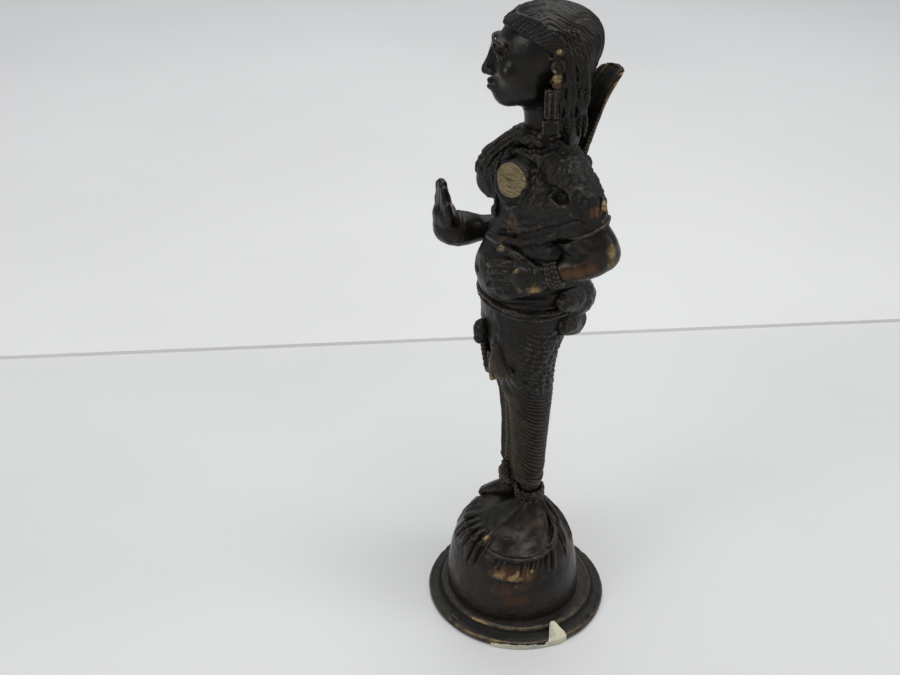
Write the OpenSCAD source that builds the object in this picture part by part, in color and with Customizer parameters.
// Small cast figure of a standing woman on a hollow domed lotus pedestal.
// Millimetres, +Z up, origin at the centre of the pedestal's underside.
// The figure faces -Y, and the left side of the figure is +X.

/* [Pedestal] */
// Radius of the flat rim that the statue stands on
rim_r = 22.7; // [22.0:0.1:23.4]
// Height of the flat rim
rim_h = 1.8; // [1.4:0.1:2.2]
// Radius of the raised step on the rim
step_r = 19.6; // [18.6:0.1:20.6]
// Height of the top of the raised step
step_h = 3.5; // [3.0:0.1:4.2]
// Radius of the opening in the underside
mouth_r = 13.4; // [12.0:0.1:13.6]
// Radius of the dome at its foot
dome_r = 16.9; // [16.6:0.1:17.6]
// Height of the dome above the step
dome_h = 23; // [22:0.5:24]
// Wall of the hollow dome
wall = 2.2; // [1.6:0.1:2.6]
// Number of lotus petals round the dome
petals = 18; // [12:2:24]

/* [Fixing] */
// Radius of the two pins under the feet
pin_r = 1.3; // [1.0:0.1:1.5]
// Radial play of a pin in its hole
play = 0.1; // [0.05:0.05:0.2]
// Radius of the backing washers
washer_r = 3.1; // [2.8:0.1:3.4]

/* [Figure] */
// Radius of the bare ankles
ankle_r = 2.7; // [2.5:0.05:2.75]
// Radius of the wire of the anklets
anklet_wire = 0.55; // [0.4:0.05:0.55]
// Height of the belt
belt_h = 3; // [2.4:0.2:3.4]
// How far the belt stands proud of the hips
belt_proud = 0.9; // [0.6:0.1:1.2]
// Radius of the ear rings
earring_r = 2.1; // [1.8:0.1:2.3]

/* [Label] */
// Thickness of the torn paper label
label_t = 0.25; // [0.2:0.05:0.3]

/* [Hidden] */

$fn = 48;
eps = 0.01;
dome_x = -0.3;          // the dome sits a little off the rim's centre
dome_y = -0.9;
top_z = step_h + dome_h;
lift = top_z - 26.5;    // keeps the figure on the dome
left_pin = [1.3, 1.6, 3.6];      // [x, y, depth of the washer's underside below the dome's top]
right_pin = [-6.3, -0.2, 5.2];
seam_z = 88;            // flat seam between skirt and torso
neck_z = 125.6;         // flat seam between torso and head

// --- small helpers -------------------------------------------------------

function unit(v) = v / norm(v);
function spline(a, b, c, d, t) =
    0.5 * (2 * b + (c - a) * t + (2 * a - 5 * b + 4 * c - d) * t * t + (3 * b - a - 3 * c + d) * t * t * t);
// Rows of numbers filled in with k steps between neighbours
function fill(P, k) = [
    for (i = [0 : len(P) - 2], j = [0 : k - 1])
        spline(P[max(i - 1, 0)], P[i], P[i + 1], P[min(i + 2, len(P) - 1)], j / k),
    P[len(P) - 1]];

// Closed skin through rings of points that all have the same count
module skin(rings) {
    n = len(rings[0]);
    m = len(rings);
    polyhedron(
        points = [for (r = rings) for (p = r) p],
        faces = concat(
            [[for (j = [0 : n - 1]) j]],
            [for (i = [0 : m - 2], j = [0 : n - 1]) [i * n + j, (i + 1) * n + j, (i + 1) * n + (j + 1) % n]],
            [for (i = [0 : m - 2], j = [0 : n - 1]) [i * n + j, (i + 1) * n + (j + 1) % n, i * n + (j + 1) % n]],
            [[for (j = [n - 1 : -1 : 0]) (m - 1) * n + j]]),
        convexity = 6);
}

// Oval ring: [x, y, z, half width, half depth, side groove, slope across X]
function oval(s, n, grow = 0) = [
    for (j = [0 : n - 1])
        let (a = 360 * j / n, c = cos(a), q = 1 - s[5] * exp(-pow(c / 0.34, 2)))
        [s[0] + (s[3] + grow) * c, s[1] + (s[4] + grow) * sin(a) * q, s[2] + s[6] * (s[3] + grow) * c]];

// Round ring across a path: P holds [x, y, z, radius]
function xyz(p) = [p[0], p[1], p[2]];
function tangent(P, i) = unit(xyz(P[min(i + 1, len(P) - 1)]) - xyz(P[max(i - 1, 0)]));
function tube_rings(P, n, ref, flat = 1) = [
    for (i = [0 : len(P) - 1])
        let (t = tangent(P, i), u = unit(cross(ref, t)), v = cross(t, u))
        [for (j = [0 : n - 1]) let (a = 360 * j / n)
            xyz(P[i]) + P[i][3] * (cos(a) * u + flat * sin(a) * v)]];
module tube(P, n = 14, ref = [1, 0, 0], k = 3, flat = 1) { skin(tube_rings(fill(P, k), n, ref, flat)); }

// String of balls blended pairwise along a path
module blend(P, fn = 16) {
    for (i = [0 : len(P) - 2])
        hull() for (j = [i, i + 1]) translate(xyz(P[j])) sphere(r = P[j][3], $fn = fn);
}

// --- pedestal ------------------------------------------------------------

function dome_rad(t, off) = max((dome_r - off) * pow(1 - pow(t, 1.86), 1 / 3.69), 0);
function dome_line(off) = [for (i = [0 : 15]) let (t = sin(90 * i / 15))
    [i == 15 ? 0 : dome_rad(t, off), step_h + t * (dome_h - off)]];

// Solid inside of the dome's outer skin, less a margin
module dome_body(off = 0) {
    translate([dome_x, dome_y, 0])
        rotate_extrude() polygon(concat([[0, step_h]], dome_line(off)));
}

module foot_ring() {
    color([0.19, 0.17, 0.14])
    rotate_extrude($fn = 96) polygon([
        [mouth_r, 0], [rim_r - 0.3, 0], [rim_r, 0.35], [rim_r, rim_h - 0.4], [rim_r - 0.5, rim_h],
        [step_r + 0.3, rim_h + 0.15], [step_r, rim_h + 0.4], [step_r - 0.25, step_h - 0.45],
        [step_r - 0.9, step_h], [mouth_r, step_h]]);
}

module pedestal_dome() {
    color([0.2, 0.15, 0.11])
    difference() {
        dome_body();
        translate([0, 0, -eps]) dome_body(wall);
        translate([0, 0, -50 + step_h]) cube([80, 80, 100], center = true);
        pin_holes();
        // grooves between the lotus petals
        for (i = [0 : petals - 1])
            translate([dome_x, dome_y, 0]) rotate([0, 0, 360 * (i + 0.5) / petals])
                translate([dome_r - 1.2, 0, step_h + 12]) rotate([0, -24, 0]) cylinder(r = 0.55, h = 14, $fn = 24);
    }
}

module pin_holes() {
    for (p = [left_pin, right_pin])
        translate([p[0], p[1], top_z - 8]) cylinder(r = pin_r + play, h = 13.5, $fn = 32);
}

module fixing_pins() {
    color([0.5, 0.42, 0.24])
    for (p = [left_pin, right_pin])
        translate([p[0], p[1], top_z - p[2] - 1.2]) {
            cylinder(r = pin_r, h = p[2] + 5.8, $fn = 32);
            cylinder(r = pin_r + 0.9, h = 1.2, $fn = 32);
        }
}

module pin_washers() {
    color([0.55, 0.47, 0.28])
    for (p = [left_pin, right_pin])
        translate([p[0], p[1], top_z - p[2]]) difference() {
            cylinder(r = washer_r, h = 0.9, $fn = 32);
            translate([0, 0, -1]) cylinder(r = pin_r + play, h = 3, $fn = 32);
        }
}

// Half-moon plate let into the front of the dome under the trailing hem
module ledge_plate() {
    color([0.25, 0.24, 0.2])
    translate([0, 0, lift])
    difference() {
        translate([5.2, -2.4, 20.6]) cylinder(r = 9.4, h = 1.1, $fn = 64);
        dome_keep();
        foot_side(-0.02) translate([-40, -40, 0]) cube([80, 40, 60]);
    }
}

module dome_keep() { translate([0, 0, -lift]) dome_body(0); }

// Turns its children to run along the outer edge of the left foot
module foot_side(shift = 0) {
    translate([left_pin[0], left_pin[1], 0]) rotate([0, 0, -70.5]) translate([0, shift, 0]) children();
}

// Smooth web that falls from the left ankle to the ledge plate
module trailing_hem() {
    color([0.21, 0.15, 0.1])
    translate([0, 0, lift])
    difference() {
        union() {
            hull() {
                translate([2.6, 2.6, 29.4]) sphere(r = 1.4, $fn = 12);
                translate([5.4, -2.2, 21.72]) cylinder(r = 8.9, h = 0.3, $fn = 28);
            }
            // curled edge on the heel side
            blend([[2.6, 4.4, 29.2, 0.9], [4.2, 6.0, 27.0, 0.9], [6.4, 6.8, 25.0, 0.9], [8.6, 6.2, 23.2, 0.9], [10.2, 4.4, 22.6, 0.8]], 10);
            blend([[3.6, 5.2, 28.0, 0.7], [4.8, 7.6, 26.0, 0.8], [6.6, 8.4, 24.4, 0.8], [8.0, 7.8, 23.2, 0.7]], 10);
        }
        dome_keep();
        translate([0, 0, 10]) cylinder(r = 40, h = 11.72, $fn = 64);
        foot_side(1.6) translate([-40, -40, 0]) cube([80, 40, 60]);
        foot_shape(left_toes, left_pin, 0.02);
        translate([left_pin[0], left_pin[1], 26]) cylinder(r = ankle_r + 0.02, h = 12, $fn = 32);
    }
}

// --- feet ----------------------------------------------------------------

// Toe tips: [x, y, z, radius]
left_toes = [[-1.2, -13.6, 24.4, 1.0], [1.0, -14.0, 24.0, 0.9], [3.1, -14.0, 23.6, 0.9], [5.3, -13.5, 23.2, 0.85], [7.3, -12.3, 22.9, 0.8]];
right_toes = [[-9.4, -7.4, 25.2, 0.95], [-10.7, -6.9, 24.8, 0.8], [-11.8, -6.2, 24.4, 0.78], [-12.7, -5.2, 24.1, 0.74], [-13.3, -4.1, 23.8, 0.7]];

module foot_shape(toes, pin, grow = 0) {
    heel = [pin[0], pin[1] + 2.6, 27.6];
    hull() {
        translate(heel) sphere(r = 2.1 + grow, $fn = 14);
        translate([pin[0], pin[1], 28.6]) sphere(r = 2.5 + grow, $fn = 14);
    }
    for (t = toes) {
        knuckle = [pin[0] + 0.72 * (t[0] - pin[0]), pin[1] + 0.72 * (t[1] - pin[1]), t[2] + 0.9];
        hull() {
            translate([pin[0], pin[1], 28.2]) sphere(r = 2.3 + grow, $fn = 14);
            translate(knuckle) sphere(r = 1.3 + grow, $fn = 10);
        }
        hull() {
            translate(knuckle) sphere(r = 1.2 + grow, $fn = 10);
            translate(xyz(t)) sphere(r = t[3] + grow, $fn = 10);
        }
    }
}

module foot(toes, pin) {
    translate([0, 0, lift])
    difference() {
        union() {
            foot_shape(toes, pin);
            translate([pin[0], pin[1], 27]) cylinder(r = ankle_r, h = 10.2, $fn = 32);
        }
        dome_keep();
        translate([0, 0, -lift]) pin_holes();
    }
}

module left_foot() { color([0.2, 0.18, 0.15]) difference() { foot(left_toes, left_pin); ledge_room(); } }
module right_foot() { color([0.2, 0.18, 0.15]) foot(right_toes, right_pin); }
module ledge_room() { translate([5.2, -2.4, 15.6 + lift]) cylinder(r = 9.4, h = 6.1, $fn = 64); }

// Twin wire rings round an ankle, with the drum beads between them
module anklet(pin) {
    color([0.24, 0.21, 0.17])
    translate([pin[0], pin[1], 32 + lift])
    rotate_extrude($fn = 48) {
        translate([ankle_r + anklet_wire + 0.04, 0]) circle(r = anklet_wire, $fn = 20);
        translate([ankle_r + anklet_wire + 0.04, 1.6 * anklet_wire]) circle(r = anklet_wire, $fn = 20);
    }
}
module left_anklet() { anklet(left_pin); }
module right_anklet() { anklet(right_pin); }

// --- skirt and belt -------------------------------------------------------

// [x, y, z, half width, half depth, groove between the legs, slope]
skirt_rows = [
    [-2.3, 0.5, 37.2, 8.6, 4.3, 0.50, 0],
    [-2.2, 0.5, 41.0, 8.8, 4.7, 0.45, 0],
    [-2.0, 0.4, 47.0, 8.9, 4.9, 0.40, 0],
    [-1.9, 0.2, 53.0, 9.2, 5.2, 0.36, 0],
    [-1.8, -0.2, 59.0, 9.8, 5.8, 0.30, 0],
    [-1.7, -1.1, 65.0, 10.6, 6.9, 0.22, 0],
    [-1.6, -1.9, 71.0, 11.3, 7.8, 0.14, 0],
    [-1.5, -1.9, 77.0, 11.9, 8.8, 0.07, 0],
    [-1.4, -1.3, 82.0, 12.3, 10.0, 0.02, 0],
    [-1.4, -0.9, 85.5, 12.4, 10.6, 0, 0],
    [-1.4, -0.9, 88.0, 12.4, 10.6, 0, 0]];

module skirt_skin(grow = 0) { skin([for (s = skirt_rows) oval(s, 36, grow)]); }

module draped_skirt() {
    color([0.2, 0.19, 0.17])
    translate([0, 0, lift]) skirt_skin();
}

module hip_prism(grow, z0, h) {
    translate([0, 0, z0]) linear_extrude(h)
        polygon([for (p = oval([-1.4, -0.9, 0, 12.4, 10.6, 0, 0], 36, grow)) [p[0], p[1]]]);
}

module waist_belt() {
    color([0.3, 0.26, 0.17])
    translate([0, 0, lift]) difference() {
        hip_prism(belt_proud, 86, belt_h);
        hip_prism(0.05, 85, belt_h + 2);
    }
}

// Gathered end of the cloth over the back of the hips
module hip_drape() {
    color([0.2, 0.18, 0.16])
    translate([0, 0, lift])
    difference() {
        union() {
            blend([[-10.6, 4.6, 88.4, 2.0], [-7.0, 7.8, 87.2, 3.2], [-2.0, 9.4, 86.8, 4.0], [3.0, 8.9, 87.2, 4.2], [7.0, 6.4, 88.2, 3.6], [10.0, 3.0, 89.4, 2.4]], 12);
            blend([[9.0, 4.0, 83.0, 2.2], [5.6, 7.0, 81.8, 3.0], [1.0, 8.6, 81.6, 3.2], [-3.5, 8.2, 82.0, 3.0], [-7.6, 6.2, 83.0, 2.3]], 12);
        }
        skirt_skin(0.02);
        torso_skin(0.02);
        hip_prism(belt_proud + 0.02, 85.98, belt_h + 0.04);
    }
}

// --- front sash -----------------------------------------------------------

module sash_knot() {
    color([0.26, 0.21, 0.15])
    translate([0, 0, lift])
    difference() {
        translate([-1.2, -11.4, 78.2]) sphere(r = 1.9, $fn = 32);
        skirt_skin(0.02);
    }
}

// Flared end of the sash: narrow above, wide and slanting below
module tassel_shape(grow) {
    hull() {
        translate([5.4, -9.6, 77.0]) sphere(r = 1.1 + grow, $fn = 14);
        translate([4.2, -10.3, 68.6]) sphere(r = 0.9 + grow, $fn = 14);
        translate([8.8, -7.4, 71.6]) sphere(r = 0.9 + grow, $fn = 14);
    }
}
module sash_tassel() {
    color([0.32, 0.2, 0.13])
    translate([0, 0, lift])
    difference() {
        tassel_shape(0);
        skirt_skin(0.02);
        translate([-1.2, -11.4, 78.2]) sphere(r = 1.95, $fn = 32);
    }
}

module sash_loop() {
    color([0.24, 0.22, 0.18])
    translate([0, 0, lift])
    difference() {
        tube([[-2.6, -10.4, 76.6, 0.8], [-3.4, -9.9, 73.0, 0.9], [-3.4, -9.3, 69.6, 0.9], [-2.2, -9.0, 67.4, 0.9], [-0.8, -8.8, 68.6, 0.9], [-0.6, -9.4, 72.0, 0.8]], 10, [1, 0, 0], 2);
        skirt_skin(0.02);
        translate([-1.2, -11.4, 78.2]) sphere(r = 1.95, $fn = 32);
        tassel_shape(0.05);
    }
}

// --- torso ----------------------------------------------------------------

torso_rows = [
    [-1.4, -0.9, 88.0, 12.4, 10.6, 0, 0],
    [-1.4, -0.9, 90.0, 12.2, 10.6, 0, 0.02],
    [-1.4, -1.7, 94.0, 11.2, 10.0, 0, 0.06],
    [-1.4, -2.8, 98.5, 9.8, 8.4, 0, 0.10],
    [-1.3, -2.9, 103.0, 9.0, 7.2, 0, 0.14],
    [-1.2, -2.3, 107.5, 9.4, 6.8, 0, 0.17],
    [-1.0, -1.2, 112.0, 10.6, 7.2, 0, 0.19],
    [-0.8, 0.2, 116.0, 11.6, 7.2, 0, 0.20],
    [-0.8, 1.2, 119.0, 11.4, 6.4, 0, 0.20],
    [-0.8, 1.4, 121.6, 8.6, 5.2, 0, 0.14],
    [-0.9, 0.9, 123.6, 5.2, 4.3, 0, 0.06],
    [-1.0, 0.2, 125.6, 4.1, 3.9, 0, 0]];
left_breast = [5.6, -9.2, 116.0];
right_breast = [-6.0, -9.6, 112.0];
function swell(p, c, h, s) = h * exp(-(pow(p[0] - c[0], 2) + pow(p[2] - c[2], 2)) / (s * s));
function chest(p) = p[1] > -1 ? p : [p[0], p[1] - swell(p, left_breast, 4.8, 4.1) - swell(p, right_breast, 4.8, 4.1), p[2]];

module torso_skin(grow = 0) {
    skin([for (s = torso_rows) [for (p = oval(s, 36, grow)) chest(p)]]);
}

module torso() {
    color([0.19, 0.18, 0.16])
    translate([0, 0, lift])
    difference() {
        torso_skin();
        translate([shoulder_l + 20, 0, 118]) cube([40, 60, 16], center = true);
        translate([shoulder_r - 20, 0, 118]) cube([40, 60, 16], center = true);
        disc_place(-0.05, 6);
    }
}

// Flat shoulder seams
shoulder_l = 9.6;
shoulder_r = -11.6;

// Flat filed spot on the left breast
module disc_place(grow, h) {
    translate([6.2, -8.3, 117.0]) rotate([0, 0, 35]) rotate([84, 0, 0]) cylinder(r = 3.3 + grow, h = h, $fn = 40);
}
module breast_disc() {
    color([0.45, 0.39, 0.24])
    translate([0, 0, lift]) intersection() {
        disc_place(-0.05, 0.8);
        disc_place(-0.05, 6);
    }
}

module necklace() {
    color([0.3, 0.25, 0.17])
    translate([0, 0, lift]) difference() {
        translate([-1.0, -0.6, 122.9]) rotate([16, 0, 0]) rotate_extrude($fn = 40) translate([6.3, 0]) circle(r = 0.9, $fn = 12);
        torso_skin(0.02);
    }
}

// Rope of flowers from the left shoulder to between the breasts
module garland() {
    color([0.27, 0.24, 0.18])
    translate([0, 0, lift])
    difference() {
        union() {
            tube([[5.4, -5.0, 121.0, 0.9], [4.0, -8.4, 118.4, 1.0], [1.6, -9.6, 115.4, 1.0], [-0.6, -10.0, 112.0, 1.0], [-1.4, -10.0, 108.0, 0.9]], 8, [1, 0, 0], 2);
            tube([[-7.2, -4.0, 119.0, 0.9], [-5.6, -7.6, 116.6, 1.0], [-3.4, -10.2, 114.0, 1.0], [-1.6, -10.3, 110.6, 1.0]], 8, [1, 0, 0], 2);
        }
        torso_skin(0.02);
        disc_place(0.05, 6);
    }
}

// --- arms -----------------------------------------------------------------

// Last two rings of each sleeve; the forearm starts on the same line a little past them
arm_l1 = [16.0, 4.0, 111.8, 4.5];
arm_l2 = [16.6, 5.2, 109.2, 4.4];
arm_r1 = [-16.2, 3.9, 106.4, 3.9];
arm_r2 = [-16.3, 4.2, 104.0, 3.8];
function past(a, b, k, r) = let (p = xyz(b) + k * (xyz(b) - xyz(a))) [p[0], p[1], p[2], r];

module left_upper_arm() {
    color([0.19, 0.18, 0.16])
    translate([0, 0, lift])
    skin(concat(
        [[for (j = [0 : 15]) let (a = 360 * j / 16) [shoulder_l + 0.02, 1.2 - 4.2 * cos(a), 119.0 - 4.2 * sin(a)]]],
        tube_rings([[12.6, 1.4, 118.9, 4.7], [14.8, 2.6, 115.6, 4.6], arm_l1, arm_l2], 16, [0, 0, -1])));
}

module left_forearm() {
    color([0.19, 0.18, 0.16])
    translate([0, 0, lift])
    skin(tube_rings([past(arm_l1, arm_l2, 0.017, 3.8), past(arm_l1, arm_l2, 0.67, 4.0), [17.3, 7.0, 105.6, 4.1], [17.0, 7.2, 103.4, 4.0], [16.2, 4.4, 101.4, 3.5], [15.0, 1.2, 100.0, 2.9], [13.6, -1.8, 98.8, 2.3]], 16, [-1, 0, 0]));
}

// Cloth that hangs from the left sleeve to the waist and closes the space behind the arm
module side_drape() {
    color([0.2, 0.18, 0.16])
    difference() {
        translate([0, 0, lift]) hull() {
            translate([6.0, -7.0, 105.6]) sphere(r = 2.2, $fn = 16);
            translate([12.6, -2.0, 110.4]) sphere(r = 3.2, $fn = 18);
            translate([11.4, 4.6, 108.4]) sphere(r = 3.0, $fn = 16);
            translate([8.0, -1.0, 102.6]) sphere(r = 2.2, $fn = 16);
        }
        translate([0, 0, lift]) torso_skin(0.02);
        left_upper_arm();
        left_forearm();
        left_hand();
        left_armlet();
    }
}

// Everything behind a seam that is square to a direction
module behind(at, dir) {
    translate(at) rotate([0, acos(dir[2] / norm(dir)), atan2(dir[1], dir[0])])
        translate([-12, -12, -24 + 0.02]) cube([24, 24, 24]);
}

module left_hand() {
    color([0.2, 0.19, 0.17])
    translate([0, 0, lift])
    difference() {
        union() {
            blend([[13.4, -2.6, 98.6, 2.1], [12.2, -5.4, 98.3, 2.3], [10.4, -8.0, 97.6, 2.4]], 12);
            for (i = [0 : 3]) blend([[10.4, -8.0 + 0.2 * i, 98.8 - 1.1 * i, 1.2], [8.4, -10.6, 98.2 - 1.3 * i, 1.0], [6.4, -12.2, 97.4 - 1.4 * i, 0.8]], 10);
        }
        torso_skin(0.02);
        behind([13.6, -1.8, 98.8], [-1.4, -3.0, -1.2]);
    }
}

module right_upper_arm() {
    color([0.18, 0.17, 0.15])
    translate([0, 0, lift])
    skin(concat(
        [[for (j = [0 : 15]) let (a = 360 * j / 16 - 19) [shoulder_r - 0.02, 1.0 - 4.0 * sin(a), 115.4 - 4.0 * cos(a)]]],
        tube_rings([[-15.6, 1.6, 114.5, 4.05], [-16.1, 3.0, 110.4, 3.85], arm_r1, arm_r2], 16, [0, 0, -1])));
}

module right_forearm() {
    color([0.18, 0.17, 0.15])
    translate([0, 0, lift])
    skin(tube_rings([past(arm_r1, arm_r2, 0.02, 3.5), past(arm_r1, arm_r2, 0.84, 3.6), [-16.3, 4.3, 99.6, 3.7], [-16.1, 2.4, 97.2, 3.4], [-16.7, -3.0, 96.2, 3.0], [-17.2, -8.0, 96.0, 3.1], [-17.5, -11.4, 96.1, 3.9], [-17.6, -12.8, 96.2, 4.3]], 16, [1, 0, 0]));
}

module right_hand() {
    color([0.19, 0.18, 0.16])
    translate([0, 0, lift])
    difference() {
        union() {
            blend([[-17.7, -13.2, 96.2, 4.2], [-18.1, -15.4, 96.6, 3.6], [-18.4, -16.2, 99.8, 2.6]], 12);
            hull() for (x = [-21.0, -15.8]) translate([x, -16.3, 99.8]) sphere(r = 2.0, $fn = 12);
            for (i = [0 : 3]) blend([[-21.3 + 1.8 * i, -16.3, 100.0, 1.7], [-21.0 + 1.65 * i, -16.6, 103.8, 1.35], [-20.5 + 1.4 * i, -17.0, 106.4 + (i == 1 || i == 2 ? 0.9 : 0), 0.95]], 10);
            blend([[-15.8, -15.2, 98.6, 1.4], [-14.2, -16.2, 101.2, 1.1], [-14.2, -16.7, 103.2, 0.85]], 10);
        }
        behind([-17.6, -12.8, 96.2], [-0.1, -1.4, 0.1]);
    }
}

// Ring on a limb, at a point of it and square to its run
module ring_on(at, dir, r, wire) {
    translate([at[0], at[1], at[2] + lift])
        rotate([0, acos(dir[2] / norm(dir)), atan2(dir[1], dir[0])])
            rotate_extrude($fn = 48) translate([r + wire + 0.06, 0]) circle(r = wire, $fn = 20);
}
module left_armlet() { color([0.5, 0.42, 0.24]) ring_on([16.35, 4.7, 110.2], [0.6, 1.2, -2.6], 4.52, 0.55); }
module right_armlet() { color([0.3, 0.26, 0.18]) ring_on([-16.26, 4.1, 105.0], [-0.1, 0.3, -2.4], 3.9, 0.55); }
module left_bangle() { color([0.3, 0.27, 0.2]) ring_on([14.0, -1.0, 99.1], [-1.4, -3.0, -1.2], 2.62, 0.6); }

// --- head and hair ---------------------------------------------------------

turn = -15;             // the head looks a little to the right
head_c = [-1.0, -1.2, 0];

// [forward offset, height, half width, half depth]
head_rows = [
    [0, 125.6, 4.0, 3.9], [0.3, 127.4, 3.8, 3.8], [0.3, 129.2, 4.0, 4.0], [-0.9, 130.8, 5.0, 6.0],
    [-1.2, 132.8, 6.2, 8.0], [-0.9, 135.6, 7.2, 8.9], [-0.6, 139.0, 7.8, 9.5], [-0.2, 142.6, 8.0, 9.8],
    [0, 146.0, 7.4, 9.1], [0.2, 148.4, 5.6, 7.0], [0.2, 149.7, 3.2, 4.0], [0.2, 150.2, 0.8, 1.0]];
function face_swell(c, z) =
    1.5 * exp(-pow((z - 138.0) / 2.0, 2)) * exp(-pow(cos(c) / 0.16, 2))      // nose
    + 0.6 * exp(-pow((z - 131.8) / 1.4, 2)) * exp(-pow(cos(c) / 0.3, 2))     // chin
    - 0.7 * exp(-pow((z - 141.2) / 1.4, 2)) * exp(-pow((abs(cos(c)) - 0.35) / 0.2, 2)); // eye hollows
function head_ring(s, n, grow = 0) = [
    for (j = [0 : n - 1]) let (a = 360 * j / n,
        x = (s[2] + grow) * cos(a),
        y = s[0] + (s[3] + grow) * sin(a) - (sin(a) < 0 ? face_swell(a, s[1]) : 0),
        t = s[1] > 131 ? turn : turn * (s[1] - 125.6) / 5.4)
    [head_c[0] + x * cos(t) - y * sin(t), head_c[1] + (s[1] < 131 ? 1.4 * (131 - s[1]) / 5.4 : 0) + x * sin(t) + y * cos(t), s[1]]];
module head_skin(grow = 0, n = 36) {
    skin([for (s = head_rows) head_ring(s, n, grow)]);
}

module head() {
    color([0.22, 0.2, 0.17]) translate([0, 0, lift]) head_skin();
}

module head_frame() { translate([head_c[0], head_c[1], lift]) rotate([0, 0, turn]) children(); }

// Combed hair over crown, sides and nape, open at the face
hair_rows = [
    [5.6, 123.6, 6.6, 3.2], [5.0, 127.0, 7.4, 4.2], [3.6, 131.0, 8.4, 6.2], [2.0, 135.0, 9.0, 8.4],
    [0.8, 139.0, 9.3, 10.2], [0.4, 143.0, 9.2, 10.9], [0.2, 146.5, 8.4, 10.2], [0.2, 149.2, 6.4, 7.8],
    [0.2, 150.8, 3.4, 4.2], [0.2, 151.2, 0.8, 1.0]];
module hair() {
    color([0.17, 0.17, 0.15])
    difference() {
        head_frame() skin([for (s = hair_rows) [for (j = [0 : 35]) let (a = 10 * j) [s[2] * cos(a), s[0] + s[3] * sin(a), s[1]]]]);
        translate([0, 0, lift]) { head_skin(0.02); torso_skin(0.02); }
        head_frame() translate([-20, -20, 100]) cube([40, 17.6, 45.6]);
        translate([-1.0, -0.6, 122.9 + lift]) rotate([16, 0, 0]) rotate_extrude($fn = 40) translate([6.3, 0]) circle(r = 0.95, $fn = 12);
    }
}

module earring(s) {
    head_frame() translate([s * 9.95, 2.6, 139.4]) rotate([0, 90, 0])
        rotate_extrude($fn = 40) translate([earring_r - 0.6, 0]) circle(r = 0.6, $fn = 20);
}
module left_earring() { color([0.36, 0.25, 0.15]) earring(1); }
module right_earring() { color([0.36, 0.25, 0.15]) earring(-1); }

module tress(s) {
    difference() {
        head_frame() tube([[s * 10.3, 2.6, 136.4, 0.8], [s * 10.2, 2.2, 133.6, 1.1], [s * 9.8, 1.6, 130.4, 1.1], [s * 9.2, 1.0, 127.4, 0.8]], 10, [1, 0, 0], 2);
        translate([0, 0, lift]) torso_skin(0.02);
        hair();
    }
}
module left_tress() { color([0.22, 0.2, 0.17]) tress(1); }
module right_tress() { color([0.22, 0.2, 0.17]) tress(-1); }

// Upright leaf that curls away from the nape
leaf_rows = [[8.5, 118.6, 1.4, 1.1], [9.3, 122.0, 2.4, 1.0], [10.3, 126.0, 3.4, 0.8], [11.4, 130.0, 4.4, 0.7], [12.8, 133.6, 5.0, 0.6], [14.4, 136.2, 4.6, 0.5], [15.4, 137.4, 3.4, 0.4]];
module leaf_skin() {
    translate([0, 0, lift]) skin([for (s = leaf_rows) [for (j = [0 : 19]) let (a = 360 * j / 20)
        [-0.6 + s[2] * cos(a), s[0] + s[3] * sin(a) - 0.10 * pow(s[2] * cos(a), 2), s[1] - 0.3 * s[3] * sin(a)]]]);
}
module nape_leaf() {
    color([0.3, 0.22, 0.15])
    difference() {
        leaf_skin();
        hair();
        translate([0, 0, lift]) torso_skin(0.02);
    }
}
module nape_knob() {
    color([0.2, 0.19, 0.17])
    difference() {
        translate([0.2, 9.2, 117.0 + lift]) sphere(r = 1.9, $fn = 32);
        translate([0, 0, lift]) torso_skin(0.02);
        leaf_skin();
        hair();
    }
}

// Torn strip of paper stuck round the rim, its end curled up over the step
module paper_label() {
    color([0.8, 0.78, 0.66]) {
        rotate([0, 0, -33]) rotate_extrude(angle = 45, $fn = 96) translate([rim_r + 0.03, 0.15]) square([label_t, 1.2]);
        rotate([0, 0, 3]) rotate_extrude(angle = 13, $fn = 96)
            polygon([[rim_r + 0.06, 0.25], [rim_r + 0.1 + label_t, 0.25], [rim_r + 0.1 + label_t, 2.4],
                [rim_r - 0.6, 3.4], [rim_r - 2.2, 4.4], [rim_r - 2.3, 4.2], [rim_r - 0.8, 3.2], [rim_r + 0.06, 2.2]]);
    }
}

foot_ring();
pedestal_dome();
ledge_plate();
fixing_pins();
pin_washers();
left_foot();
right_foot();
left_anklet();
right_anklet();
trailing_hem();
draped_skirt();
waist_belt();
hip_drape();
sash_knot();
sash_tassel();
sash_loop();
torso();
breast_disc();
necklace();
garland();
left_upper_arm();
left_forearm();
left_hand();
right_upper_arm();
right_forearm();
right_hand();
left_armlet();
right_armlet();
left_bangle();
side_drape();
head();
hair();
left_earring();
right_earring();
left_tress();
right_tress();
nape_leaf();
nape_knob();
paper_label();
